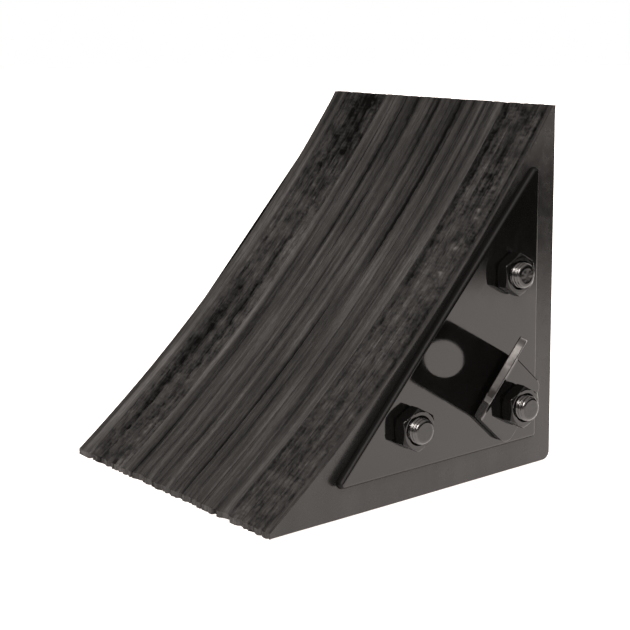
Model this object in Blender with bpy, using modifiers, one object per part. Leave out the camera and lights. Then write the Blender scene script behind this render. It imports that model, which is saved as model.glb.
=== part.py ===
"""Laminated rubber wheel chock: rubber plies clamped between two steel side plates by three tie rods.

Metres, +Z up, origin at the middle of the base.  The toe points to -Y, the back faces +Y,
and the side that carries the chain bracket faces +X.
"""
import math

import bmesh
import bpy
from mathutils import Matrix, Vector

MM = 0.001
GAP = 0.3 * MM

# Rubber block
DEPTH = 230 * MM
HEIGHT = 231 * MM
TOE_HEIGHT = 4 * MM
TOP_LAND = 3 * MM
FACE_SAG = 12 * MM
HEEL_RADIUS = 6 * MM
FACE_STEPS = 16
PLY_THICKNESS_MM = (16, 12, 17, 11, 12, 12, 12.5, 10.5, 10, 12, 10, 12, 13, 14, 14, 12, 16)
BLOCK_WIDTH = sum(PLY_THICKNESS_MM) * MM

# Side plates: corners measured from the toe and the base
PLATE_THICKNESS = 6.35 * MM
PLATE_CORNERS_MM = ((43.5, 20.5), (209.5, 20.5), (209.5, 199))
PLATE_CORNER_RADIUS = 3 * MM
PLATE_EDGE_ROUND = 2.6 * MM

# Tie rods and nuts
ROD_DIAMETER = 15.875 * MM
ROD_CLEARANCE = 0.8 * MM
ROD_END_CHAMFER = 1.2 * MM
ROD_PROTRUSION = 5 * MM
ROD_PLACES_MM = {
    "front_lower": (100.5, 48.5),
    "rear_lower": (184, 48),
    "rear_upper": (184, 131),
}
NUT_ACROSS_FLATS = 23.8 * MM
NUT_HEIGHT = 9 * MM
NUT_CHAMFER = 1.4 * MM

# Chain bracket
BRACKET_THICKNESS = 5 * MM
BRACKET_WIDTH = 46 * MM
BRACKET_BEND_RADIUS = 5 * MM
BRACKET_LEAN = math.radians(45)
BRACKET_LEG = 51 * MM
BRACKET_FOOT = 34 * MM
BRACKET_TURN = math.radians(47.5)
BRACKET_NUT_SETBACK = 21 * MM
BRACKET_EDGE_BEVEL = 0.7 * MM
CHAIN_HOLE_DIAMETER = 25 * MM
CHAIN_HOLE_UP = 33.5 * MM

ROUND_SEGMENTS = 28
PLATE_FACE = BLOCK_WIDTH / 2 + GAP + PLATE_THICKNESS
SIDE_ON = Matrix(((0, 0, 1, 0), (1, 0, 0, 0), (0, 1, 0, 0), (0, 0, 0, 1)))


def clear_scene():
    for obj in list(bpy.data.objects):
        bpy.data.objects.remove(obj, do_unlink=True)


def make_collection(name):
    collection = bpy.data.collections.new(name)
    bpy.context.scene.collection.children.link(collection)
    return collection


def make_material(name, colour, roughness, metallic):
    material = bpy.data.materials.new(name)
    material.use_nodes = True
    shader = material.node_tree.nodes["Principled BSDF"]
    shader.inputs["Base Color"].default_value = (*colour, 1.0)
    shader.inputs["Roughness"].default_value = roughness
    shader.inputs["Metallic"].default_value = metallic
    return material


def in_side_view(place_mm):
    """(Y, Z) of a place given in millimetres from the toe and the base."""
    return Vector((place_mm[0] * MM - DEPTH / 2, place_mm[1] * MM))


def arc(centre, radius, start, end, steps):
    points = []
    for i in range(steps + 1):
        angle = start + (end - start) * i / steps
        points.append(centre + radius * Vector((math.cos(angle), math.sin(angle))))
    return points


def round_corners(corners, radius, steps=6):
    """Outline of a convex polygon, given anticlockwise, with an arc at each corner."""
    outline = []
    for i, corner in enumerate(corners):
        before = (corner - corners[i - 1]).normalized()
        after = (corners[(i + 1) % len(corners)] - corner).normalized()
        turn = before.angle_signed(after) * -1
        reach = radius * math.tan(turn / 2)
        centre = corner - before * reach + Vector((-before.y, before.x)) * radius
        start = math.atan2(-before.x, before.y)
        outline += arc(centre, radius, start, start + turn, steps)
    return outline


def wedge_outline():
    """Side profile of a ply: flat base and back, hollow face struck as one arc."""
    toe = in_side_view((0, 0))
    heel = toe + Vector((DEPTH, 0))
    toe_top = toe + Vector((0, TOE_HEIGHT))
    crown = heel + Vector((-TOP_LAND, HEIGHT))
    chord = crown - toe_top
    half = chord.length / 2
    radius = (half * half + FACE_SAG * FACE_SAG) / (2 * FACE_SAG)
    across = Vector((-chord.y, chord.x)).normalized()
    centre = toe_top + chord / 2 + across * (radius - FACE_SAG)
    start = math.atan2(crown.y - centre.y, crown.x - centre.x)
    end = math.atan2(toe_top.y - centre.y, toe_top.x - centre.x)
    outline = [toe]
    heel_centre = heel + Vector((-HEEL_RADIUS, HEEL_RADIUS))
    outline += arc(heel_centre, HEEL_RADIUS, -math.pi / 2, 0, 6)
    outline.append(heel + Vector((0, HEIGHT)))
    outline += arc(centre, radius, start, end, FACE_STEPS)
    return outline


def bracket_outline():
    """Bent strap seen on edge: x runs along the foot, y stands off the plate, bend near the origin."""
    outer = BRACKET_BEND_RADIUS + BRACKET_THICKNESS
    bend_start = outer * math.tan(BRACKET_LEAN / 2)
    centre = Vector((bend_start, outer))
    down = -math.pi / 2
    lean = down - BRACKET_LEAN
    along = Vector((-math.cos(BRACKET_LEAN), math.sin(BRACKET_LEAN)))
    under = arc(centre, outer, down, lean, 8)
    over = arc(centre, BRACKET_BEND_RADIUS, lean, down, 8)
    tip = BRACKET_LEG * along
    thick = Vector((math.sin(BRACKET_LEAN), math.cos(BRACKET_LEAN))) * BRACKET_THICKNESS
    foot = [Vector((BRACKET_FOOT, BRACKET_THICKNESS)), Vector((BRACKET_FOOT, 0))]
    return under + [tip, tip + thick] + over + foot


def extruded(name, outline, depth, matrix, collection):
    """Closed plate of the given depth, centred on its outline's plane."""
    curve = bpy.data.curves.new(name, "CURVE")
    curve.dimensions = "2D"
    curve.fill_mode = "BOTH"
    curve.extrude = depth / 2
    spline = curve.splines.new("POLY")
    spline.points.add(len(outline) - 1)
    for point, (x, y) in zip(spline.points, outline):
        point.co = (x, y, 0, 1)
    spline.use_cyclic_u = True
    source = bpy.data.objects.new(name + "_curve", curve)
    collection.objects.link(source)
    bpy.context.view_layer.update()
    evaluated = source.evaluated_get(bpy.context.evaluated_depsgraph_get())
    mesh = bpy.data.meshes.new_from_object(evaluated)
    bpy.data.objects.remove(source, do_unlink=True)
    bpy.data.curves.remove(curve)
    weld(mesh)
    mesh.name = name
    obj = bpy.data.objects.new(name, mesh)
    obj.matrix_world = matrix
    collection.objects.link(obj)
    return obj


def weld(mesh):
    work = bmesh.new()
    work.from_mesh(mesh)
    bmesh.ops.remove_doubles(work, verts=work.verts, dist=0.01 * MM)
    bmesh.ops.recalc_face_normals(work, faces=work.faces)
    work.to_mesh(mesh)
    work.free()


def cylinder(name, diameter, length, centre, collection, segments=ROUND_SEGMENTS, axis="X"):
    """Closed cylinder or prism whose axis runs along X, or along its own Z where axis is Z."""
    mesh = bpy.data.meshes.new(name)
    work = bmesh.new()
    bmesh.ops.create_cone(
        work, cap_ends=True, segments=segments, radius1=diameter / 2, radius2=diameter / 2, depth=length
    )
    if axis == "X":
        bmesh.ops.rotate(work, verts=work.verts, matrix=Matrix.Rotation(math.pi / 2, 3, "Y"))
    work.to_mesh(mesh)
    work.free()
    obj = bpy.data.objects.new(name, mesh)
    obj.location = centre
    collection.objects.link(obj)
    return obj


def cut(obj, cutter, operation="DIFFERENCE"):
    modifier = obj.modifiers.new(operation.title(), "BOOLEAN")
    modifier.operation = operation
    modifier.solver = "EXACT"
    modifier.object = cutter


def bevel(obj, width, segments=2):
    modifier = obj.modifiers.new("Edge", "BEVEL")
    modifier.width = width
    modifier.segments = segments
    modifier.limit_method = "ANGLE"
    modifier.angle_limit = math.radians(40)


def shade(obj, material):
    obj.data.materials.clear()
    obj.data.materials.append(material)
    obj.data.shade_smooth()
    obj.data.set_sharp_from_angle(angle=math.radians(35))


def build_plies(parts, rod_bores, material):
    outline = wedge_outline()
    edge = -BLOCK_WIDTH / 2
    for number, thickness_mm in enumerate(PLY_THICKNESS_MM, start=1):
        thickness = thickness_mm * MM
        matrix = Matrix.Translation((edge + thickness / 2, 0, 0)) @ SIDE_ON
        ply = extruded(f"rubber_ply_{number:02d}", outline, thickness - GAP, matrix, parts)
        for bore in rod_bores:
            cut(ply, bore)
        shade(ply, material)
        edge += thickness


def build_plate(name, side, parts, rod_bores, material):
    corners = [in_side_view(corner) for corner in PLATE_CORNERS_MM]
    outline = round_corners(corners, PLATE_CORNER_RADIUS)
    middle = side * (PLATE_FACE - PLATE_THICKNESS / 2)
    matrix = Matrix.Translation((middle, 0, 0)) @ SIDE_ON
    plate = extruded(name, outline, PLATE_THICKNESS, matrix, parts)
    bevel(plate, PLATE_EDGE_ROUND, segments=4)
    for bore in rod_bores:
        cut(plate, bore)
    shade(plate, material)


def build_nut(name, seat, side, place, parts, cutters, material):
    """Hexagon nut on its rod, chamfered on both faces, with its inner face just off the seat."""
    middle = side * (seat + GAP + NUT_HEIGHT / 2)
    centre = (middle, place.x, place.y)
    corner_diameter = NUT_ACROSS_FLATS / math.cos(math.pi / 6)
    nut = cylinder(name, corner_diameter, NUT_HEIGHT, centre, parts, segments=6)
    turned = cylinder(name + "_turned", corner_diameter + 0.2 * MM, NUT_HEIGHT, centre, cutters)
    bevel(turned, NUT_CHAMFER, segments=1)
    bore = cylinder(name + "_bore", ROD_DIAMETER + 2 * GAP, 2 * NUT_HEIGHT, centre, cutters)
    cut(nut, turned, "INTERSECT")
    cut(nut, bore)
    shade(nut, material)


def build_fasteners(parts, cutters, materials):
    for label, place_mm in ROD_PLACES_MM.items():
        place = in_side_view(place_mm)
        bracket = BRACKET_THICKNESS + GAP if label == "rear_lower" else 0
        seats = {"right": PLATE_FACE + bracket, "left": PLATE_FACE}
        tips = {side: seat + GAP + NUT_HEIGHT + ROD_PROTRUSION for side, seat in seats.items()}
        middle = (tips["right"] - tips["left"]) / 2
        length = tips["right"] + tips["left"]
        rod = cylinder("tie_rod_" + label, ROD_DIAMETER, length, (middle, place.x, place.y), parts)
        bevel(rod, ROD_END_CHAMFER, segments=1)
        shade(rod, materials["rod"])
        build_nut("nut_right_" + label, seats["right"], 1, place, parts, cutters, materials["nut"])
        build_nut("nut_left_" + label, seats["left"], -1, place, parts, cutters, materials["nut"])


def build_bracket(parts, cutters, rod_bores, material):
    back = Vector((0, math.sin(BRACKET_TURN), -math.cos(BRACKET_TURN)))
    across = Vector((0, -math.cos(BRACKET_TURN), -math.sin(BRACKET_TURN)))
    nut = in_side_view(ROD_PLACES_MM["rear_lower"])
    origin = Vector((PLATE_FACE + GAP, nut.x, nut.y)) - back * BRACKET_NUT_SETBACK
    out = Vector((1, 0, 0))
    matrix = Matrix.LocRotScale(origin, Matrix((back, out, across)).transposed(), None)
    bracket = extruded("chain_bracket", bracket_outline(), BRACKET_WIDTH, matrix, parts)
    along = out * math.sin(BRACKET_LEAN) - back * math.cos(BRACKET_LEAN)
    hole_centre = origin + along * CHAIN_HOLE_UP
    hole = cylinder("chain_hole", CHAIN_HOLE_DIAMETER, 40 * MM, hole_centre, cutters, axis="Z")
    hole.rotation_mode = "QUATERNION"
    hole.rotation_quaternion = along.cross(across).to_track_quat("Z", "Y")
    bevel(bracket, BRACKET_EDGE_BEVEL)
    cut(bracket, hole)
    for bore in rod_bores:
        cut(bracket, bore)
    shade(bracket, material)


def main():
    clear_scene()
    parts = make_collection("wheel_chock")
    cutters = make_collection("cutters")
    materials = {
        "rubber": make_material("rubber", (0.035, 0.033, 0.032), 0.85, 0.0),
        "plate": make_material("painted_plate", (0.05, 0.048, 0.046), 0.35, 0.6),
        "bracket": make_material("painted_bracket", (0.04, 0.038, 0.036), 0.4, 0.6),
        "rod": make_material("rod_steel", (0.46, 0.45, 0.43), 0.4, 1.0),
        "nut": make_material("nut_steel", (0.22, 0.215, 0.21), 0.45, 1.0),
    }
    rod_bores = {}
    for label, place_mm in ROD_PLACES_MM.items():
        place = in_side_view(place_mm)
        diameter = ROD_DIAMETER + 2 * ROD_CLEARANCE
        centre = (0, place.x, place.y)
        rod_bores[label] = cylinder("rod_bore_" + label, diameter, 400 * MM, centre, cutters)
    bores = list(rod_bores.values())
    build_plies(parts, bores, materials["rubber"])
    build_plate("side_plate_right", 1, parts, bores, materials["plate"])
    build_plate("side_plate_left", -1, parts, bores, materials["plate"])
    build_fasteners(parts, cutters, materials)
    build_bracket(parts, cutters, [rod_bores["rear_lower"]], materials["bracket"])
    for obj in cutters.objects:
        obj.hide_render = True
        obj.display_type = "WIRE"


main()
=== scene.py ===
"""Looks of the laminated rubber wheel chock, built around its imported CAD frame."""
import math

import bmesh
import bpy
import numpy as np
from mathutils import Matrix, Vector
from mathutils.geometry import tessellate_polygon


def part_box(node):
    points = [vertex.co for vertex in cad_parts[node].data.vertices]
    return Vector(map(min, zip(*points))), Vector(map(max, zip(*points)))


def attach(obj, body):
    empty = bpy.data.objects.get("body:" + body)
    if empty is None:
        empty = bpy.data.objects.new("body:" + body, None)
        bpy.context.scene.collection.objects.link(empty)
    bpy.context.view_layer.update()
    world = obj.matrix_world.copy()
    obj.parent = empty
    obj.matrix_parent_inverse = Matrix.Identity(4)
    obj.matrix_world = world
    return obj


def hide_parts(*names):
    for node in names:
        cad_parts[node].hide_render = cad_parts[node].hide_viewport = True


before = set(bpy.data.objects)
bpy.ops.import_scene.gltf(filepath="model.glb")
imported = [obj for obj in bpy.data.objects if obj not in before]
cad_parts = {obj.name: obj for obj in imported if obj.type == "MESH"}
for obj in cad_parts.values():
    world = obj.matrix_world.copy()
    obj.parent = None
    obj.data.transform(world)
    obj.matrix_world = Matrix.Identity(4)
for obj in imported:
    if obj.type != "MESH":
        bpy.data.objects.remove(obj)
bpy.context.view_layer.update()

MM = 0.001

# Wedge profile, as the CAD has it
TOE_HEIGHT = 4 * MM
TOP_LAND = 3 * MM
FACE_SAG = 12 * MM
HEEL_RADIUS = 6 * MM

# Mesh density on the rubber
FACE_STEP = 1.3 * MM
PLAIN_STEP = 2.6 * MM
LAND_STEP = 0.5 * MM
TOE_STEP = 0.4 * MM
COLUMN_STEP = 0.7 * MM
BORE_STEPS = 24

# Cut surface of the rubber: how far its middle lies below the CAD surface, how far it may rise above
# it, how deep the toe's edge is torn back, and how far into the face the toe and the top are felt
FACE_SETBACK = 0.25 * MM
RELIEF_LIMIT = 0.6 * MM
TOE_RAGGED = 2.6 * MM
EDGE_REACH = 5 * MM

# Share of the relief that is kept on the base, on the back and along the top edge
BASE_RELIEF = 0.35
BACK_RELIEF = 0.6
TOP_EDGE_RELIEF = 0.25

# Joints between plies: half width (mm) of the groove and of its dark line, and how dark that line is
GROOVE_WIDTH = 0.42
JOINT_LINE_WIDTH = 0.5
JOINT_LINE_DARKNESS = 0.35

# Gap the CAD leaves between pieces that touch
CAD_GAP = 0.3 * MM

# Side plates
PLATE_CORNER_RADIUS = 3 * MM
PLATE_EDGE_ROUND = 2.6 * MM

# Fasteners: 5/8 in rods, coarse thread that runs out between two distances from its own end.
# The entry of a nut's bore is given as how much wider it starts and how deep it goes.
ROD_DIAMETER = 15.875 * MM
THREAD_PITCH = 2.31 * MM
THREAD_DEPTH = 1.1 * MM
THREAD_LENGTH = 34 * MM
THREAD_RING_SPACING = 0.22 * MM
THREAD_RUNOUT_START = 3 * MM
THREAD_RUNOUT_END = 1 * MM
ROD_END_ROUND = 2.6 * MM
ROD_SIDES = 72
BORE_RADIUS = ROD_DIAMETER / 2 + 0.8 * MM
NUT_ACROSS_FLATS = 23.8 * MM
NUT_FACE_RADIUS = 0.965 * NUT_ACROSS_FLATS / 2
NUT_SIDES = 144
NUT_BORE_RADIUS = ROD_DIAMETER / 2 + CAD_GAP
NUT_BORE_ENTRY = (1.0 * MM, 0.9 * MM)
NUT_CHAMFER = math.radians(30)
NUT_EDGE_ROUND = 0.22 * MM

# Chain bracket
BRACKET_THICKNESS = 5 * MM
BRACKET_WIDTH = 46 * MM
BRACKET_BEND_RADIUS = 5 * MM
BRACKET_LEAN = math.radians(45)
BRACKET_LEG = 51 * MM
BRACKET_FOOT = 34 * MM
BRACKET_TURN = math.radians(47.5)
BRACKET_NUT_SETBACK = 21 * MM
BRACKET_EDGE_ROUND = 0.8 * MM
CHAIN_HOLE_RADIUS = 12.5 * MM
CHAIN_HOLE_UP = 33.5 * MM
BRACKET_LEG_CORNER = 9 * MM
BRACKET_FOOT_CORNER = 7 * MM
BEND_OUTER_RADIUS = BRACKET_BEND_RADIUS + BRACKET_THICKNESS
BEND_REACH = BEND_OUTER_RADIUS * math.tan(BRACKET_LEAN / 2)

# Heights over which the block's sides turn paler towards the top, and over which the bracket's worn end
# brightens towards its upper corner as a painted highlight
PALER_TOP_HEIGHTS = (165 * MM, 215 * MM)
END_HIGHLIGHT_HEIGHTS = (70 * MM, 98 * MM)

# Camera
CAMERA_PLACE = (0.75039, -0.58302, 0.30272)
CAMERA_RIGHT = (0.61986, 0.78454, -0.01636)
CAMERA_FORWARD = (-0.76889, 0.60307, -0.21241)
CAMERA_LENS = 85.16
CAMERA_SENSOR = 36

# Studio: every light has the photo's warm tint. The room brightens with height, given as the sine
# of the elevation. The floor begins to fade FLOOR_REACH out from FLOOR_START, over FLOOR_FADE.
# Lamps have a name, a direction towards them, an angular size (degrees) and a strength.
WARM = (1.0, 0.915, 0.87)
ROOM_RISE = (0.1, 0.95)
ROOM_OVERHEAD = 0.30
ROOM_HORIZON = 0.03
FLOOR_GLOW = 0.9
FLOOR_START = (0.115, 0.06, -0.0004)
FLOOR_OUTWARD = (0.769, 0.603, 0)
FLOOR_REACH = 0.585
FLOOR_FADE = 0.17
FLOOR_DEPTH = 6
FLOOR_HALF_WIDTH = 5
LIGHTS = (
    ("key", (0.60, -0.48, 0.63), 24, 4.4),
    ("side_fill", (0.75, 0.35, 0.9), 60, 0.7),
    ("back_fill", (-0.6, 1.0, 0.7), 60, 1.0),
)

# Long streaks on the tyre face: place across the block (mm), half width (mm), strength,
# and the stretch of the face they cover, from 0 at the toe to 1 at the top.
STREAKS = (
    (-98.5, 5.0, 0.70, 0.0, 0.85),
    (-48, 2.6, 0.75, 0.0, 1.0),
    (-23, 2.0, 0.45, 0.0, 0.8),
    (-3, 1.6, 0.35, 0.0, 0.6),
    (11, 2.4, 0.52, 0.35, 0.75),
    (34, 3.0, 0.25, 0.0, 0.6),
    (62, 2.4, 0.42, 0.0, 1.0),
    (-81, 6.0, -0.42, 0.85, 1.0),
    (-81, 6.5, -0.80, 0.24, 0.50),
    (-81, 6.0, -0.35, 0.0, 0.2),
    (-63, 4.5, -0.35, 0.85, 1.0),
    (-64, 4.5, -0.55, 0.26, 0.48),
    (-66, 5.0, -0.20, 0.0, 1.0),
    (-40, 3.4, -0.60, 0.0, 0.6),
    (-28, 2.2, -0.70, 0.6, 1.0),
    (-15.5, 2.4, -0.85, 0.65, 1.0),
    (-7.3, 1.7, -0.70, 0.1, 0.55),
    (-0.5, 1.5, 0.45, 0.0, 0.25),
    (4.5, 2.2, -0.70, 0.6, 1.0),
    (17, 2.2, -0.65, 0.0, 0.5),
    (27, 1.9, -1.30, 0.62, 1.0),
    (52, 2.6, -0.65, 0.2, 0.8),
    (70, 3.4, -0.25, 0.3, 1.0),
    (103, 2.0, -0.80, 0.35, 1.0),
)
# Bands where cut cord ends make the face rough: from, to (mm across), pit spacing along the face (mm)
ROUGH_BANDS = ((-93, -51, 6.2), (66, 104, 4.6))
# Rows of pits where thick cords were cut: place across (mm), spacing along the face (mm)
PIT_ROWS = ((-79.5, 11.5), (-62.5, 12.5))
# Line of frayed cord ends near the right edge of the face (mm across, mm apart along the face)
TUFT_LINE = 94.5
TUFT_SPACING = 5.6


# ---------------------------------------------------------------- noise and small helpers

def value_noise(x, y, seed):
    """Smooth noise from 0 to 1 that varies over one unit of x and y. Each use has a seed of its own."""
    table = np.random.RandomState(seed).rand(256, 256)
    x, y = np.broadcast_arrays(np.asarray(x, float), np.asarray(y, float))
    xi = np.floor(x).astype(int)
    yi = np.floor(y).astype(int)
    fx = x - xi
    fy = y - yi
    fx = fx * fx * (3 - 2 * fx)
    fy = fy * fy * (3 - 2 * fy)
    x0, x1, y0, y1 = xi % 256, (xi + 1) % 256, yi % 256, (yi + 1) % 256
    low = table[x0, y0] * (1 - fx) + table[x1, y0] * fx
    high = table[x0, y1] * (1 - fx) + table[x1, y1] * fx
    return low * (1 - fy) + high * fy


def bump_at(x, centre, width):
    """Bell from 1 at the centre to nearly 0 at twice the width."""
    return np.exp(-(((x - centre) / width) ** 2))


def ramp(x, low, high):
    """Smooth step from 0 at low to 1 at high."""
    t = np.clip((x - low) / (high - low), 0, 1)
    return t * t * (3 - 2 * t)


def straight(start, end, step):
    """Points from start up to but not including end."""
    count = max(1, round(np.linalg.norm(end - start) / step))
    share = np.arange(count)[:, None] / count
    return start + (end - start) * share


def unit_rows(vectors):
    """Each row scaled to length 1."""
    return vectors / np.linalg.norm(vectors, axis=1)[:, None]


def arc(centre, radius, start, end, steps):
    """Points along an arc from one angle to another, both ends included."""
    angles = np.linspace(start, end, steps + 1)
    return np.column_stack((centre[0] + radius * np.cos(angles), centre[1] + radius * np.sin(angles)))


def new_object(name, mesh, node):
    """Places a finished mesh on the one body and lets it stand for its CAD node."""
    obj = bpy.data.objects.new(name, mesh)
    bpy.context.scene.collection.objects.link(obj)
    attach(obj, "root")
    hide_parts(node)
    return obj


def smooth_mesh(mesh, angle):
    """Smooth shading, with edges sharper than the angle (degrees) kept sharp."""
    mesh.shade_smooth()
    mesh.set_sharp_from_angle(angle=math.radians(angle))


def face_outwards(mesh, merge=False):
    """Turns every face outwards, after merging doubled points if asked."""
    work = bmesh.new()
    work.from_mesh(mesh)
    if merge:
        bmesh.ops.remove_doubles(work, verts=work.verts, dist=0.01 * MM)
    bmesh.ops.recalc_face_normals(work, faces=work.faces)
    work.to_mesh(mesh)
    work.free()


def flatten_shading(obj):
    """Keeps large flat faces mirror flat next to their rounded edges."""
    modifier = obj.modifiers.new("FlatShading", "WEIGHTED_NORMAL")
    modifier.weight = 100
    modifier.keep_sharp = True


def solid_mesh(name, verts, faces):
    """Mesh from an array of points and a list of faces, with every face turned outwards."""
    mesh = bpy.data.meshes.new(name)
    mesh.from_pydata(verts.tolist(), [], faces)
    face_outwards(mesh)
    return mesh


# ---------------------------------------------------------------- rubber plies

class Wedge:
    """Perimeter of the block's side view, sampled anticlockwise seen from +X, starting at the toe.

    Each array has one value per sample: points (m), part, normal, along (mm), is_face,
    and up, which is 0 at the toe and 1 at the top.
    """

    def __init__(self, low, high):
        self.toe = np.array((low.y, low.z))
        self.crown = np.array((high.y - TOP_LAND, high.z))
        runs = self.runs(np.array((high.y, low.z)), np.array((high.y, high.z)))
        self.points = np.vstack([points for _, points in runs])
        self.part = np.concatenate([[label] * len(points) for label, points in runs])
        self.is_face = self.part == "face"
        ahead = np.roll(self.points, -1, 0) - self.points
        behind = self.points - np.roll(self.points, 1, 0)
        tangent = unit_rows(unit_rows(ahead) + unit_rows(behind))
        self.normal = np.column_stack((tangent[:, 1], -tangent[:, 0]))
        steps = np.linalg.norm(ahead, axis=1)
        self.along = np.concatenate(([0], np.cumsum(steps)[:-1])) / MM
        self.up = self.height_on_face()

    def runs(self, heel, top):
        """Labelled runs of points, each up to but not including the start of the next."""
        lip = self.toe + (0, TOE_HEIGHT)
        centre, radius, start, end = self.face_arc(lip)
        face_steps = round(radius * abs(end - start) / FACE_STEP)
        heel_centre = heel + (-HEEL_RADIUS, HEEL_RADIUS)
        return (
            ("base", straight(self.toe, heel - (HEEL_RADIUS, 0), PLAIN_STEP)),
            ("base", arc(heel_centre, HEEL_RADIUS, -math.pi / 2, 0, 8)[:-1]),
            ("back", straight(heel + (0, HEEL_RADIUS), top, PLAIN_STEP)),
            ("top", straight(top, self.crown, LAND_STEP)),
            ("face", arc(centre, radius, start, end, face_steps)[:-1]),
            ("toe", straight(lip, self.toe, TOE_STEP)),
        )

    def face_arc(self, lip):
        """Centre, radius and end angles of the hollow tyre face, from the crown down to the lip."""
        chord = self.crown - lip
        half = np.linalg.norm(chord) / 2
        radius = (half * half + FACE_SAG * FACE_SAG) / (2 * FACE_SAG)
        across = np.array((-chord[1], chord[0])) / (2 * half)
        centre = lip + chord / 2 + across * (radius - FACE_SAG)
        start = math.atan2(self.crown[1] - centre[1], self.crown[0] - centre[0])
        end = math.atan2(lip[1] - centre[1], lip[0] - centre[0])
        return centre, radius, start, end

    def height_on_face(self):
        """Share of the way up the tyre face, held at 0 below it and at 1 beyond it."""
        face_along = self.along[self.is_face]
        up = np.zeros(len(self.points))
        up[self.is_face] = 1 - (face_along - face_along[0]) / (face_along[-1] - face_along[0])
        up[(self.part == "top") | (self.part == "back")] = 1
        return up


# Each of the next functions gives one layer of the cut surface as relief (mm, outward) and tone,
# from x across the block (mm) and s along the perimeter (mm).

def cut_texture(x, s):
    """Cords and rubber, drawn out along the cut."""
    cords = value_noise(x / 1.3, s / 75, 11) - 0.5
    bands = value_noise(x / 3.1, s / 120, 12) - 0.5
    broad = value_noise(x / 9, s / 60, 13) - 0.5
    grain = value_noise(x / 0.9, s / 3.2, 14) - 0.5
    relief = 0.3 * cords + 0.4 * bands + 0.3 * broad + 0.12 * grain
    tone = 0.475 + 0.32 * cords + 0.24 * bands + 0.14 * broad + 0.12 * grain
    return relief, tone


def long_streaks(x, s, up, on_face):
    """The streaks of STREAKS, with frayed edges. They run on, fainter, over the other faces."""
    total = 0
    for centre, width, strength, low, high in STREAKS:
        sway = 0.8 * value_noise(s / 90, centre, 15)
        fray = 1.1 * value_noise(s / 2.6, centre * 1.3, 30)
        held = ramp(up, low - 0.08, low + 0.06) * (1 - ramp(up, high - 0.06, high + 0.1))
        held = np.where(on_face, held, 0.35)
        held = held * (0.7 + 0.6 * value_noise(s / 24, centre * 3.7, 16))
        total = total + strength * bump_at(x + sway + fray - 0.95, centre, width) * held
    return 0.55 * total, 0.40 * total


def rough_band(x, s, low, high, pitch):
    """Mottle, small pits and tufts in rows where thin cords were cut."""
    inside = ramp(x, low - 2, low + 2) * (1 - ramp(x, high - 2, high + 2))
    row_width = 4.3
    drift = x + 1.6 * (value_noise(x / 6, s / 18, 24) - 0.5)
    row = np.round(drift / row_width)
    rows = bump_at((drift / row_width - row) * row_width, 0, 1.1)
    shift = value_noise(row * 5.1, 0, 17) * pitch
    phase = 2 * math.pi * (s + shift) / pitch + 5 * value_noise(x / 3, s / 9, 18)
    beat = 0.5 + 0.5 * np.cos(phase)
    patch = value_noise(x / 6, s / 12, 19)
    pits = rows * beat * ramp(patch, 0.35, 0.8)
    tufts = rows * (1 - beat) ** 3 * ramp(patch, 0.55, 0.8)
    mottle = value_noise(x / 2.0, s / 3.4, 20) - 0.5
    speck = value_noise(x / 0.9, s / 1.4, 25) - 0.5
    blot = value_noise(x / 5.5, s / 6, 26) - 0.5
    rib = np.cos(2 * math.pi * (s / 2.6 + 1.5 * value_noise(x / 8, s / 14, 31))) * ramp(patch, 0.1, 0.7)
    relief = 0.45 * mottle + 0.15 * speck + 0.3 * blot - 0.35 * pits
    tone = 0.26 * mottle + 0.20 * speck + 0.30 * blot + 0.06 * rib - 0.14 * pits + 0.10 * tufts - 0.05
    return inside * relief, inside * tone


def frayed_line(x, s, up, on_face):
    """Pale tufts of cord along one line on the upper face."""
    frayed = ramp(up, 0.5, 0.62) * (1 - ramp(up, 0.9, 0.97)) * on_face
    spacing = s / TUFT_SPACING + 1.6 * value_noise(s / 9, 0, 27)
    beat = ramp(np.cos(2 * math.pi * spacing), -0.1, 0.9)
    size = 1.5 * ramp(value_noise(s / 5, 1, 28), 0.15, 0.9)
    sideways = 5.5 * (value_noise(s / 6, 2, 29) - 0.5)
    tuft = frayed * beat * size * bump_at(x + sideways, TUFT_LINE, 1.9)
    return 0.35 * tuft, 0.42 * tuft


def pit_row(x, s, on_face, centre, pitch):
    """Wider dark pits in a row, some of them missing. They are shallower off the tyre face."""
    place = s / pitch + 0.7 * value_noise(s / 25, centre, 32)
    present = ramp(value_noise(np.round(place) * 1.7, centre, 33), 0.25, 0.75)
    drift = 2.6 * (value_noise(s / 14, centre, 34) - 0.5)
    pit = present * ramp(np.cos(2 * math.pi * place), 0.1, 1.0) * bump_at(x + drift, centre, 2.6)
    pit = pit * np.where(on_face, 1.0, 0.4)
    return -0.45 * pit, -0.26 * pit


def rubber_surface(across, wedge):
    """Relief (mm, outward) and tone (0 dark to 1 pale, with painted shade towards the top of the tyre
    face) over across x perimeter, across in mm.
    """
    x = across[:, None]
    s = wedge.along[None, :]
    up = wedge.up[None, :]
    on_face = wedge.is_face[None, :]
    layers = [cut_texture(x, s), long_streaks(x, s, up, on_face), frayed_line(x, s, up, on_face)]
    layers += [rough_band(x, s, *band) for band in ROUGH_BANDS]
    layers += [pit_row(x, s, on_face, *row) for row in PIT_ROWS]
    relief = sum(layer[0] for layer in layers)
    tone = sum(layer[1] for layer in layers)
    # Painted shade: the tyre face is made darker towards its top, where less light reaches it.
    painted_top_shade = np.where(on_face, 0.16 * ramp(up, 0.55, 1.0), 0)
    return relief, tone - painted_top_shade


def joint_depth(across_mm, wedge):
    """Depth in mm of the groove where two plies meet, along the perimeter."""
    open_joint = value_noise(wedge.along / 70, across_mm * 1.7, 21)
    rough = any(low < across_mm < high for low, high, _ in ROUGH_BANDS)
    return (0.3 + 1.1 * open_joint ** 2) * (0.4 if rough else 1.0)


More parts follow.
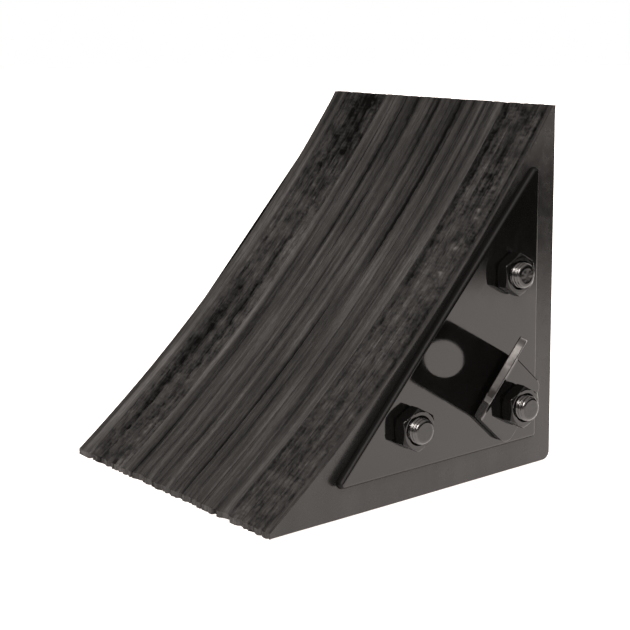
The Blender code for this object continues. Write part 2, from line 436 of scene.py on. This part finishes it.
def pressed_sides(node):
    """Places across where a ply meets its neighbours, half way over the gap that the CAD leaves."""
    low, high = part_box(node)
    boxes = [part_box(other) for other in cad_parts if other.startswith("rubber_ply_")]
    below = [box[1].x for box in boxes if box[1].x < low.x]
    above = [box[0].x for box in boxes if box[0].x > high.x]
    left = (low.x + max(below)) / 2 if below else low.x
    right = (high.x + min(above)) / 2 if above else high.x
    return left, right


def ply_columns(low, high):
    """Places across a ply, closer together at its two edges, so that the edges can be rounded."""
    edge = np.array((0, 0.12, 0.35, 0.7)) * MM
    count = max(3, round((high - low - 2 * edge[-1]) / COLUMN_STEP))
    middle = np.linspace(low + edge[-1], high - edge[-1], count + 1)[1:-1]
    return np.concatenate((low + edge, middle, high - edge[::-1]))


def edge_joints(across, wedge, width, power):
    """Depth (mm) of the joints at a ply's two edges, dying away over the given width (mm)."""
    from_low = (across - across[0])[:, None]
    from_high = (across[-1] - across)[:, None]
    low_joint = joint_depth(across[0], wedge) * np.exp(-((from_low / width) ** power))
    high_joint = joint_depth(across[-1], wedge) * np.exp(-((from_high / width) ** power))
    return low_joint + high_joint


def ply_surface(columns, wedge):
    """Places (Y, Z) of the cut surface over columns x perimeter, and their tone."""
    across = columns / MM
    relief, tone = rubber_surface(across, wedge)
    near_top = np.exp(-((wedge.points[:, 1] - wedge.crown[1]) / EDGE_REACH) ** 2)
    near_toe = np.exp(-((wedge.points[:, 0] - wedge.toe[0]) / EDGE_REACH) ** 2)
    kept = 1 - (1 - TOP_EDGE_RELIEF) * near_top
    kept[wedge.part == "base"] = BASE_RELIEF
    kept[wedge.part == "back"] = BACK_RELIEF
    groove = edge_joints(across, wedge, GROOVE_WIDTH, 1.3) * (1 - 0.6 * near_top)
    relief = (relief * kept - groove) * MM - FACE_SETBACK
    relief = np.minimum(relief, RELIEF_LIMIT)
    tone = tone - JOINT_LINE_DARKNESS * edge_joints(across, wedge, JOINT_LINE_WIDTH, 2)
    places = wedge.points + relief[:, :, None] * wedge.normal
    ragged = TOE_RAGGED * value_noise(across / 2.3, 0, 22)[:, None] ** 2
    places[:, :, 0] += ragged * near_toe
    places[:, :, 1] -= 0.15 * ragged * near_top
    places[:, :, 1] = np.maximum(places[:, :, 1], wedge.toe[1])
    return places, tone


def ring_quads(rings, around):
    """Faces between each ring of points and the next."""
    ring = np.arange(rings - 1)[:, None] * around
    step = np.arange(around)[None, :]
    after = (step + 1) % around
    quads = np.stack((ring + step, ring + after, ring + around + after, ring + around + step), -1)
    return quads.reshape(-1, 4).tolist()


def close_side(verts, rim, bores):
    """Closes one flat side around its bores.

    Returns all the points, the new faces, and where the bores' points start.
    """
    start = len(verts)
    x = verts[rim[0], 0]
    loops = [np.column_stack((np.full(len(bore), x), bore)) for bore in bores]
    outlines = [[Vector((0, y, z)) for _, y, z in loop] for loop in [verts[rim]] + loops]
    verts = np.vstack([verts] + loops)
    index = np.concatenate((rim, np.arange(start, len(verts))))
    faces = [[int(index[i]) for i in triangle] for triangle in tessellate_polygon(outlines)]
    return verts, faces, start


def bore_walls(low_start, high_start, count):
    """Faces along each bore, from one side of a ply to the other."""
    faces = []
    for bore in range(count):
        for i in range(BORE_STEPS):
            a = bore * BORE_STEPS + i
            b = bore * BORE_STEPS + (i + 1) % BORE_STEPS
            faces.append((low_start + a, low_start + b, high_start + b, high_start + a))
    return faces


def add_tone(mesh, tone):
    """Stores the tone of the cut surface, whose points come first; the bores get a plain tone."""
    values = np.full(len(mesh.vertices), 0.3, np.float32)
    values[: len(tone)] = tone
    attribute = mesh.attributes.new("tone", "FLOAT", "POINT")
    attribute.data.foreach_set("value", values)


def build_ply(node, rods, materials):
    """One ply: a cut surface all round, and two smooth sides with a bore for each rod."""
    wedge = Wedge(*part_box(node))
    columns = ply_columns(*pressed_sides(node))
    places, tone = ply_surface(columns, wedge)
    rings, around = tone.shape
    verts = np.dstack((np.broadcast_to(columns[:, None], tone.shape), places)).reshape(-1, 3)
    cut = ring_quads(rings, around)
    rim = np.arange(around)
    bores = [arc(place, BORE_RADIUS, 0, 2 * math.pi, BORE_STEPS)[:-1] for place in rods]
    verts, low_side, low_start = close_side(verts, rim, bores)
    verts, high_side, high_start = close_side(verts, rim + (rings - 1) * around, bores)
    faces = cut + low_side + high_side + bore_walls(low_start, high_start, len(bores))
    mesh = solid_mesh(node + "_cut", verts, faces)
    for material in materials:
        mesh.materials.append(material)
    is_cut = np.arange(len(faces)) < len(cut)
    mesh.polygons.foreach_set("material_index", np.where(is_cut, 0, 1))
    add_tone(mesh, tone.reshape(-1))
    smooth_mesh(mesh, 50)
    mesh.polygons.foreach_set("use_smooth", is_cut)
    new_object(node + "_cut", mesh, node)


# ---------------------------------------------------------------- flat steel

def rounded_polygon(corners, radii, steps=10):
    """Convex outline, given anticlockwise, with an arc at each corner."""
    outline = []
    for i, corner in enumerate(corners):
        corner = Vector(corner)
        before = (corner - Vector(corners[i - 1])).normalized()
        after = (Vector(corners[(i + 1) % len(corners)]) - corner).normalized()
        turn = -before.angle_signed(after)
        reach = radii[i] * math.tan(turn / 2)
        centre = corner - before * reach + Vector((-before.y, before.x)) * radii[i]
        start = math.atan2(-before.x, before.y)
        outline.append(arc(centre, radii[i], start, start + turn, steps))
    return np.vstack(outline)


def flat_plate(name, outlines, thickness, edge_round):
    """Flat plate about z = 0 from an outline and holes, with rounded edges all round."""
    curve = bpy.data.curves.new(name, "CURVE")
    curve.dimensions = "2D"
    curve.fill_mode = "BOTH"
    curve.extrude = thickness / 2 - edge_round
    curve.bevel_depth = edge_round
    curve.bevel_resolution = 3
    curve.offset = -edge_round
    for outline in outlines:
        spline = curve.splines.new("POLY")
        spline.points.add(len(outline) - 1)
        for point, (x, y) in zip(spline.points, outline):
            point.co = (x, y, 0, 1)
        spline.use_cyclic_u = True
    source = bpy.data.objects.new(name + "_curve", curve)
    bpy.context.scene.collection.objects.link(source)
    bpy.context.view_layer.update()
    evaluated = source.evaluated_get(bpy.context.evaluated_depsgraph_get())
    mesh = bpy.data.meshes.new_from_object(evaluated)
    bpy.data.objects.remove(source, do_unlink=True)
    bpy.data.curves.remove(curve)
    face_outwards(mesh, merge=True)
    mesh.name = name
    mesh.materials.clear()
    return mesh


def hole_outline(centre, radius, steps=48):
    """Round hole, given clockwise."""
    return arc(centre, radius, 0, -2 * math.pi, steps)[:-1]


def plate_corners(node):
    """Sharp corners of a side plate, worked back from its box and its corner radius."""
    low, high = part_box(node)
    width = high.y - low.y
    height = high.z - low.z
    slope = math.atan2(height, width)
    for _ in range(6):
        spare_low = PLATE_CORNER_RADIUS / math.tan(slope / 2) - PLATE_CORNER_RADIUS
        spare_top = PLATE_CORNER_RADIUS / math.tan((math.pi / 2 - slope) / 2) - PLATE_CORNER_RADIUS
        slope = math.atan2(height + spare_top, width + spare_low)
    return ((low.y - spare_low, low.z), (high.y, low.z), (high.y, high.z + spare_top))


def build_side_plate(node, rods, material):
    """Triangular plate with rounded edges and corners, and a hole for each rod."""
    low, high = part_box(node)
    holes = [hole_outline(place, BORE_RADIUS) for place in rods]
    outline = rounded_polygon(plate_corners(node), [PLATE_CORNER_RADIUS] * 3)
    mesh = flat_plate(node + "_rolled", [outline] + holes, high.x - low.x, PLATE_EDGE_ROUND)
    middle = (low.x + high.x) / 2
    mesh.transform(Matrix(((0, 0, 1, middle), (1, 0, 0, 0), (0, 1, 0, 0), (0, 0, 0, 1))))
    smooth_mesh(mesh, 40)
    mesh.materials.append(material)
    flatten_shading(new_object(node + "_rolled", mesh, node))


def bracket_blank(name):
    """The bracket cut flat, bend at x = 0: its foot runs along +X and its leg along -X."""
    half = BRACKET_WIDTH / 2
    corners = ((-BRACKET_LEG, -half), (BRACKET_FOOT, -half), (BRACKET_FOOT, half), (-BRACKET_LEG, half))
    radii = (BRACKET_LEG_CORNER, BRACKET_FOOT_CORNER, BRACKET_FOOT_CORNER, BRACKET_LEG_CORNER)
    outline = rounded_polygon(corners, radii)
    chain_hole = hole_outline((-CHAIN_HOLE_UP, 0), CHAIN_HOLE_RADIUS, 64)
    bolt_hole = hole_outline((BRACKET_NUT_SETBACK, 0), BORE_RADIUS)
    return flat_plate(name, [outline, chain_hole, bolt_hole], BRACKET_THICKNESS, BRACKET_EDGE_ROUND)


def bent(run, rise):
    """Carries a point of the flat strap round the bend: run along it, rise off its underside."""
    if run >= BEND_REACH:
        return run, rise
    angle = min(1.0, (BEND_REACH - run) / (2 * BEND_REACH)) * BRACKET_LEAN
    radius = BEND_OUTER_RADIUS - rise
    beyond = max(0.0, -BEND_REACH - run)
    back = BEND_REACH - radius * math.sin(angle) - beyond * math.cos(BRACKET_LEAN)
    out = BEND_OUTER_RADIUS - radius * math.cos(angle) + beyond * math.sin(BRACKET_LEAN)
    return back, out


def build_bracket(node, nut_place, paint, wear_and_highlight):
    """Strap cut flat with rounded corners and a chain hole, then bent up off the plate."""
    mesh = bracket_blank(node + "_bent")
    work = bmesh.new()
    work.from_mesh(mesh)
    for share in np.linspace(-1, 1, 15):
        geometry = work.verts[:] + work.edges[:] + work.faces[:]
        cut_at = (share * BEND_REACH, 0, 0)
        bmesh.ops.bisect_plane(work, geom=geometry, plane_co=cut_at, plane_no=(1, 0, 0), dist=1e-6)
    back = Vector((0, math.sin(BRACKET_TURN), -math.cos(BRACKET_TURN)))
    across = Vector((0, math.cos(BRACKET_TURN), math.sin(BRACKET_TURN)))
    out = Vector((1, 0, 0))
    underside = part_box("side_plate_right")[1].x + CAD_GAP
    origin = Vector((underside, *nut_place)) - back * BRACKET_NUT_SETBACK
    for vert in work.verts:
        run, side, rise = vert.co
        p, q = bent(run, rise + BRACKET_THICKNESS / 2)
        vert.co = origin + back * p + out * q + across * side
    work.normal_update()
    bmesh.ops.recalc_face_normals(work, faces=work.faces)
    leg_end = out * math.sin(BRACKET_LEAN) - back * math.cos(BRACKET_LEAN)
    for face in work.faces:
        face.material_index = int(face.normal.dot(leg_end) > 0.75)
    work.to_mesh(mesh)
    work.free()
    smooth_mesh(mesh, 40)
    mesh.materials.append(paint)
    mesh.materials.append(wear_and_highlight)
    flatten_shading(new_object(node + "_bent", mesh, node))


# ---------------------------------------------------------------- fasteners

def middle_of(node):
    """Middle (Y, Z) of a rod or nut."""
    low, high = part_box(node)
    return np.array(((low.y + high.y) / 2, (low.z + high.z) / 2))


def plain_ring(x, radius, centre, sides):
    """Round ring of points about an X axis."""
    return np.column_stack((np.full(sides, x), arc(centre, radius, 0, 2 * math.pi, sides)[:-1]))


def turned_rings(radii_of, stations, centre, sides):
    """Rings about an X axis; radii_of(angle array, index) gives each station's outline."""
    angles = np.linspace(0, 2 * math.pi, sides, endpoint=False)
    directions = np.column_stack((np.cos(angles), np.sin(angles)))
    rings = []
    for index, x in enumerate(stations):
        points = centre + radii_of(angles, index)[:, None] * directions
        rings.append(np.column_stack((np.full(sides, x), points)))
    return rings


def tube(name, rings):
    """Solid from rings of points in a row, closed with a fan at each end."""
    count, sides = len(rings), len(rings[0])
    ends = (rings[0], rings[-1])
    faces = ring_quads(count, sides)
    for end, first in enumerate((0, (count - 1) * sides)):
        middle = count * sides + end
        faces += [(first + i, first + (i + 1) % sides, middle) for i in range(sides)]
    verts = np.vstack(rings + [np.mean(end, axis=0) for end in ends])
    return solid_mesh(name, verts, faces)


def closed_loop(name, rings):
    """Solid from rings of points, the last joined to the first."""
    verts = np.vstack(rings)
    faces = np.array(ring_quads(len(rings) + 1, len(rings[0]))) % len(verts)
    return solid_mesh(name, verts, faces.tolist())


def end_rings(outer, centre, x, inward, seed):
    """Rings that carry a rod's last ring in to its middle as a slightly rough sawn face."""
    rings = []
    for share in (0.85, 0.65, 0.45, 0.25, 0.1):
        ring = outer.copy()
        ring[:, 1:] = centre + (ring[:, 1:] - centre) * share
        rough = value_noise(ring[:, 1] / (2.4 * MM), ring[:, 2] / (1.6 * MM), seed)
        ring[:, 0] = x + inward * 0.10 * MM * rough
        rings.append(ring)
    return rings


def build_rod(node, seed, material):
    """Tie rod with a rolled coarse thread at each end and a sawn end face."""
    low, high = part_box(node)
    centre = middle_of(node)
    radius = ROD_DIAMETER / 2
    end = np.arange(0, THREAD_LENGTH, THREAD_RING_SPACING)
    plain = np.linspace(low.x + THREAD_LENGTH, high.x - THREAD_LENGTH, 12)
    stations = np.concatenate((low.x + end, plain, high.x - end[::-1]))

    def outline(angles, index):
        x = stations[index]
        from_end = min(x - low.x, high.x - x)
        runout = ramp(from_end, THREAD_LENGTH - THREAD_RUNOUT_START, THREAD_LENGTH - THREAD_RUNOUT_END)
        phase = (x / THREAD_PITCH - angles / (2 * math.pi)) % 1
        valley = np.clip(1 - np.abs(phase - 0.5) * 2.5, 0, 1)
        dent = 0.06 * MM * (value_noise(angles * 2.5, x / (3 * MM), seed) - 0.5)
        into_round = max(0.0, ROD_END_ROUND - from_end)
        lost = ROD_END_ROUND - math.sqrt(ROD_END_ROUND**2 - into_round**2)
        return np.minimum(radius - THREAD_DEPTH * valley * (1 - runout) + dent, radius - lost)

    rings = turned_rings(outline, stations, centre, ROD_SIDES)
    near_end = end_rings(rings[0], centre, low.x, 1, seed + 1)
    far_end = end_rings(rings[-1], centre, high.x, -1, seed + 2)
    mesh = tube(node + "_threaded", near_end[::-1] + rings + far_end)
    smooth_mesh(mesh, 45)
    mesh.materials.append(material)
    new_object(node + "_threaded", mesh, node)


def bore_rings(low_x, high_x, centre):
    """Rings from one face of a nut through its bore to the other, with a chamfered entry at each end."""
    rim = NUT_ACROSS_FLATS / 2 * 0.9
    wider, deep = NUT_BORE_ENTRY
    outline = (
        (high_x, rim),
        (high_x, NUT_BORE_RADIUS + wider),
        (high_x - deep, NUT_BORE_RADIUS),
        (low_x + deep, NUT_BORE_RADIUS),
        (low_x, NUT_BORE_RADIUS + wider),
        (low_x, rim),
    )
    return [plain_ring(x, radius, centre, NUT_SIDES) for x, radius in outline]


def build_nut(node, seed, material):
    """Hexagon nut: each ring follows the hexagon or the chamfer cone, whichever is inside."""
    low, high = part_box(node)
    centre = middle_of(node)
    flat = NUT_ACROSS_FLATS / 2
    height = high.x - low.x
    chamfer = np.linspace(0, 0.3, 12)
    depths = np.concatenate((chamfer, np.linspace(0.36, 0.64, 5), 1 - chamfer[::-1]))

    def outline(angles, index):
        from_face = min(depths[index], 1 - depths[index]) * height
        corner = (angles + math.pi / 6) % (math.pi / 3) - math.pi / 6
        hexagon = flat / np.cos(corner) - flat
        cone = NUT_FACE_RADIUS + from_face / math.tan(NUT_CHAMFER) - flat
        both = np.exp(-hexagon / NUT_EDGE_ROUND) + np.exp(-cone / NUT_EDGE_ROUND)
        dent = 0.16 * MM * (value_noise(angles * 3.2, from_face / (2 * MM), seed) - 0.5)
        return flat - NUT_EDGE_ROUND * np.log(both) + dent

    rings = turned_rings(outline, low.x + depths * height, centre, NUT_SIDES)
    mesh = closed_loop(node + "_hex", rings + bore_rings(low.x, high.x, centre))
    smooth_mesh(mesh, 35)
    mesh.materials.append(material)
    new_object(node + "_hex", mesh, node)


# ---------------------------------------------------------------- materials

class Shader:
    """A Principled material and short calls that add nodes to it."""

    def __init__(self, name):
        self.material = bpy.data.materials.new(name)
        self.material.use_nodes = True
        self.tree = self.material.node_tree
        self.surface = self.tree.nodes["Principled BSDF"]
        coords = self.tree.nodes.new("ShaderNodeTexCoord")
        self.place = coords.outputs["Object"]

    def node(self, kind, values=None, links=None, **settings):
        node = self.tree.nodes.new("ShaderNode" + kind)
        for key, value in settings.items():
            setattr(node, key, value)
        for key, value in (values or {}).items():
            node.inputs[key].default_value = value
        for key, output in (links or {}).items():
            self.tree.links.new(output, node.inputs[key])
        return node

    def stretched(self, scale):
        return self.node("Mapping", {"Scale": scale}, {"Vector": self.place}).outputs["Vector"]

    def noise(self, vector, scale=1.0, detail=4.0):
        values = {"Scale": scale, "Detail": detail, "Roughness": 0.55}
        return self.node("TexNoise", values, {"Vector": vector}).outputs["Fac"]

    def attribute(self, name):
        return self.node("Attribute", attribute_name=name).outputs["Fac"]

    def fit(self, source, low, high, new_low, new_high):
        values = {"From Min": low, "From Max": high, "To Min": new_low, "To Max": new_high}
        return self.node("MapRange", values, {"Value": source}).outputs["Result"]

    def vary(self, noise, low, high):
        """Maps the middle of a noise, where nearly all of it lies, onto low to high."""
        return self.fit(noise, 0.3, 0.7, low, high)

    def math(self, operation, *terms):
        node = self.node("Math", operation=operation)
        for socket, value in zip(node.inputs, terms):
            if isinstance(value, (int, float)):
                socket.default_value = value
            else:
                self.tree.links.new(value, socket)
        return node.outputs["Value"]

    def colours(self, source, stops):
        """Colour of source between stops, each a position and a colour."""
        node = self.node("ValToRGB", links={"Fac": source})
        elements = node.color_ramp.elements
        while len(elements) < len(stops):
            elements.new(0.5)
        for element, (position, colour) in zip(elements, stops):
            element.position = position
            element.color = (*colour, 1)
        return node.outputs["Color"]

    def bump(self, height, distance, strength, under=None):
        node = self.node("Bump", {"Distance": distance}, {"Height": height})
        if isinstance(strength, (int, float)):
            node.inputs["Strength"].default_value = strength
        else:
            self.tree.links.new(strength, node.inputs["Strength"])
        if under is not None:
            self.tree.links.new(under, node.inputs["Normal"])
        return node.outputs["Normal"]

    def feed(self, **sources):
        """Sets or links inputs of the surface, named with _ for each space."""
        for key, source in sources.items():
            socket = self.surface.inputs[key.replace("_", " ")]
            if isinstance(source, (int, float)):
                socket.default_value = source
            else:
                self.tree.links.new(source, socket)

    def facing_side(self):
        """1 where the surface faces along X, 0 elsewhere."""
        geometry = self.node("NewGeometry")
        split = self.node("SeparateXYZ", links={"Vector": geometry.outputs["True Normal"]})
        turned = self.math("ABSOLUTE", split.outputs["X"])
        return self.fit(turned, 0.93, 0.995, 0.0, 1.0)

    def height_up(self, low, high):
        """0 below one height (m) on the object and 1 above the other."""
        split = self.node("SeparateXYZ", links={"Vector": self.place})
        return self.fit(split.outputs["Z"], low, high, 0.0, 1.0)


def rubber_face_material():
    """Cut edges of the plies: streaks of cord and rubber along the cut, with painted shade towards the
    top of the tyre face.
    """
    shader = Shader("cut_tyre_rubber")
    tone = shader.attribute("tone")
    fine = shader.noise(shader.stretched((900, 26, 26)), detail=5)
    fibres = shader.noise(shader.stretched((2600, 120, 120)), detail=3)
    blotch = shader.noise(shader.place, scale=38, detail=5)
    # The tone attribute carries the cut's streaks and the painted shade towards the top of the tyre face.
    streaks_and_top_shade = tone
    for noise, swing in ((fine, 0.12), (fibres, 0.07), (blotch, 0.06)):
        streaks_and_top_shade = shader.math("ADD", shader.vary(noise, -swing, swing), streaks_and_top_shade)
    colour = shader.colours(streaks_and_top_shade, (
        (0.0, (0.0015, 0.00147, 0.00144)),
        (0.25, (0.007, 0.00685, 0.0067)),
        (0.5, (0.021, 0.0206, 0.0202)),
        (0.75, (0.046, 0.0452, 0.0444)),
        (1.0, (0.088, 0.0865, 0.085)),
    ))
    grain = shader.noise(shader.place, scale=1500, detail=3)
    coarse = shader.noise(shader.stretched((1100, 260, 260)), detail=4)
    bumps = shader.bump(coarse, 0.0005, 0.5)
    bumps = shader.bump(grain, 0.00012, 0.6, bumps)
    shader.feed(
        Base_Color=colour,
        Roughness=shader.vary(fine, 0.78, 0.58),
        IOR=1.42,
        Specular_IOR_Level=shader.fit(tone, -0.1, 0.35, 0.05, 0.5),
        Normal=bumps,
    )
    return shader.material


def rubber_side_material():
    """Moulded, smoother flat of an outer ply, paler towards the top."""
    shader = Shader("smooth_tyre_rubber")
    scuff = shader.noise(shader.place, scale=160, detail=6)
    cloud = shader.noise(shader.stretched((20, 46, 9)), detail=5)
    # The side's colour grows paler towards the top.
    paler_top = shader.math("MULTIPLY", shader.height_up(*PALER_TOP_HEIGHTS), 0.55)
    mottle = shader.math("ADD", shader.vary(scuff, 0.0, 0.15), shader.vary(cloud, 0.05, 0.2))
    colour = shader.colours(shader.math("ADD", mottle, paler_top), (
        (0.0, (0.0070, 0.0069, 0.0067)),
        (0.35, (0.0100, 0.0098, 0.0096)),
        (0.9, (0.046, 0.0452, 0.0444)),
    ))
    grain = shader.noise(shader.place, scale=1300, detail=3)
    shader.feed(
        Base_Color=colour,
        Roughness=shader.vary(scuff, 0.20, 0.30),
        IOR=1.5,
        Specular_IOR_Level=shader.vary(cloud, 0.36, 0.44),
        Normal=shader.bump(grain, 0.00002, 0.4),
    )
    return shader.material


def paint_material(name, roughness, edge_roughness, edge_shine):
    """Glossy black paint, mirror smooth on the flats that face sideways and duller round the edges."""
    shader = Shader(name)
    cloud = shader.noise(shader.place, scale=22, detail=5)
    smear = shader.noise(shader.stretched((60, 130, 60)), detail=6)
    scratch = shader.noise(shader.stretched((300, 1500, 120)), detail=2)
    pitted = shader.noise(shader.place, scale=700, detail=4)
    colour = shader.colours(shader.vary(cloud, 0, 1), (
        (0.0, (0.0014, 0.0014, 0.0013)),
        (1.0, (0.0030, 0.0029, 0.0028)),
    ))
    facing = shader.facing_side()
    smeared = shader.vary(smear, roughness - 0.02, roughness + 0.04)
    smoother = shader.math("MULTIPLY", facing, shader.math("SUBTRACT", smeared, edge_roughness))
    bumps = shader.bump(scratch, 0.00002, 0.2)
    bumps = shader.bump(pitted, 0.00008, shader.fit(facing, 0, 1, 0.8, 0.0), bumps)
    shader.feed(
        Base_Color=colour,
        IOR=1.5,
        Specular_IOR_Level=shader.fit(facing, 0, 1, edge_shine, 0.5),
        Roughness=shader.math("ADD", smoother, edge_roughness),
        Normal=bumps,
    )
    return shader.material


def worn_end_highlight_material():
    """Scraped and dulled free end of the bracket, with a painted highlight: its metal grows brighter
    towards its upper corner.
    """
    shader = Shader("bracket_end_wear_and_highlight")
    patch = shader.noise(shader.place, scale=260, detail=5)
    # Painted highlight: the end's metal grows brighter with height, so its upper corner catches more of
    # the light.
    wear_and_highlight = shader.math("ADD", shader.height_up(*END_HIGHLIGHT_HEIGHTS), shader.vary(patch, -0.2, 0.2))
    colour = shader.colours(wear_and_highlight, (
        (0.1, (0.022, 0.0216, 0.0212)),
        (0.5, (0.034, 0.0334, 0.0328)),
        (0.9, (0.090, 0.0885, 0.087)),
    ))
    shader.feed(Base_Color=colour, Metallic=1.0, Roughness=0.5, Normal=shader.bump(patch, 0.00015, 0.6))
    return shader.material


# ---------------------------------------------------------------- stage

def soft_sun(name, direction, spread, strength):
    """Distant lamp in the given direction."""
    light = bpy.data.lights.new(name, "SUN")
    light.angle = math.radians(spread)
    light.energy = strength
    light.color = WARM
    obj = bpy.data.objects.new(name, light)
    obj.rotation_euler = (-Vector(direction)).to_track_quat("-Z", "Y").to_euler()
    bpy.context.scene.collection.objects.link(obj)


def build_world():
    """Room that is dim at the horizon and brighter overhead; the camera itself sees plain white."""
    world = bpy.data.worlds.new("studio")
    world.use_nodes = True
    nodes, links = world.node_tree.nodes, world.node_tree.links
    coords = nodes.new("ShaderNodeTexCoord")
    split = nodes.new("ShaderNodeSeparateXYZ")
    rise = nodes.new("ShaderNodeMapRange")
    rise.inputs["From Min"].default_value = ROOM_RISE[0]
    rise.inputs["From Max"].default_value = ROOM_RISE[1]
    rise.inputs["To Min"].default_value = ROOM_HORIZON
    rise.inputs["To Max"].default_value = ROOM_OVERHEAD
    room = nodes["Background"]
    room.inputs["Color"].default_value = (*WARM, 1)
    seen = nodes.new("ShaderNodeBackground")
    seen.inputs["Color"].default_value = (1.0, 1.0, 1.0, 1)
    path = nodes.new("ShaderNodeLightPath")
    choose = nodes.new("ShaderNodeMixShader")
    links.new(coords.outputs["Generated"], split.inputs["Vector"])
    links.new(split.outputs["Z"], rise.inputs["Value"])
    links.new(rise.outputs["Result"], room.inputs["Strength"])
    links.new(path.outputs["Is Camera Ray"], choose.inputs["Fac"])
    links.new(room.outputs["Background"], choose.inputs[1])
    links.new(seen.outputs["Background"], choose.inputs[2])
    links.new(choose.outputs["Shader"], nodes["World Output"].inputs["Surface"])
    bpy.context.scene.world = world


def floor_material(near, outward):
    """Pale sheet; in reflections it fades to a dark room beyond its far edge."""
    shader = Shader("floor")
    across = shader.node("VectorMath", operation="DOT_PRODUCT", links={"Vector": shader.place})
    across.inputs[1].default_value = outward
    start = near.dot(outward)
    fade = shader.fit(across.outputs["Value"], start, start + FLOOR_FADE, 1.0, 0.0)
    camera = shader.node("LightPath").outputs["Is Camera Ray"]
    pale = shader.math("MAXIMUM", fade, camera)
    colour = shader.colours(pale, ((0.0, (0.004, 0.004, 0.004)), (1.0, (0.93, 0.93, 0.93))))
    glow = shader.math("MULTIPLY", pale, FLOOR_GLOW)
    shader.surface.inputs["Emission Color"].default_value = (*WARM, 1)
    shader.feed(Base_Color=colour, Roughness=0.9, Specular_IOR_Level=0.1, Emission_Strength=glow)
    return shader.material


def build_floor():
    """Pale sheet whose edge is placed so that the side plate mirrors it low down, and dark room above."""
    outward = Vector(FLOOR_OUTWARD).normalized()
    side = Vector((-outward.y, outward.x, 0)) * FLOOR_HALF_WIDTH
    near = Vector(FLOOR_START) + outward * FLOOR_REACH
    edge = near + outward * FLOOR_FADE
    far = edge - outward * FLOOR_DEPTH
    mesh = bpy.data.meshes.new("floor")
    mesh.from_pydata([edge + side, far + side, far - side, edge - side], [], [(0, 1, 2, 3)])
    mesh.materials.append(floor_material(near, outward))
    floor = bpy.data.objects.new("floor", mesh)
    bpy.context.scene.collection.objects.link(floor)


def build_stage():
    """Room, floor and lamps."""
    bpy.context.scene.view_settings.view_transform = "Standard"
    build_world()
    build_floor()
    for light in LIGHTS:
        soft_sun(*light)


def build_camera():
    """Camera at the photo's place and angle."""
    data = bpy.data.cameras.new("camera")
    data.sensor_width = CAMERA_SENSOR
    data.lens = CAMERA_LENS
    data.clip_start = 0.01
    obj = bpy.data.objects.new("camera", data)
    right = Vector(CAMERA_RIGHT).normalized()
    forward = Vector(CAMERA_FORWARD).normalized()
    turned = Matrix((right, right.cross(forward), -forward)).transposed()
    obj.matrix_world = Matrix.LocRotScale(Vector(CAMERA_PLACE), turned, None)
    bpy.context.scene.collection.objects.link(obj)
    bpy.context.scene.camera = obj


# ---------------------------------------------------------------- assembly

def build_all():
    """Every visible piece, each standing for one CAD node."""
    nodes = sorted(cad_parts)
    rods = [middle_of(node) for node in nodes if node.startswith("tie_rod_")]
    rubber = (rubber_face_material(), rubber_side_material())
    plate = paint_material("plate_paint", roughness=0.07, edge_roughness=0.5, edge_shine=0.12)
    bracket = paint_material("bracket_paint", roughness=0.08, edge_roughness=0.16, edge_shine=0.5)
    wear_and_highlight = worn_end_highlight_material()
    rod = paint_material("rod_paint", roughness=0.14, edge_roughness=0.24, edge_shine=0.9)
    nut = paint_material("nut_paint", roughness=0.10, edge_roughness=0.20, edge_shine=0.22)
    for number, node in enumerate(nodes):
        if node.startswith("rubber_ply_"):
            build_ply(node, rods, rubber)
        elif node.startswith("side_plate_"):
            build_side_plate(node, rods, plate)
        elif node.startswith("tie_rod_"):
            build_rod(node, 40 + number, rod)
        elif node.startswith("nut_"):
            build_nut(node, 70 + number, nut)
    build_bracket("chain_bracket", middle_of("tie_rod_rear_lower"), bracket, wear_and_highlight)


build_all()
build_stage()
build_camera()
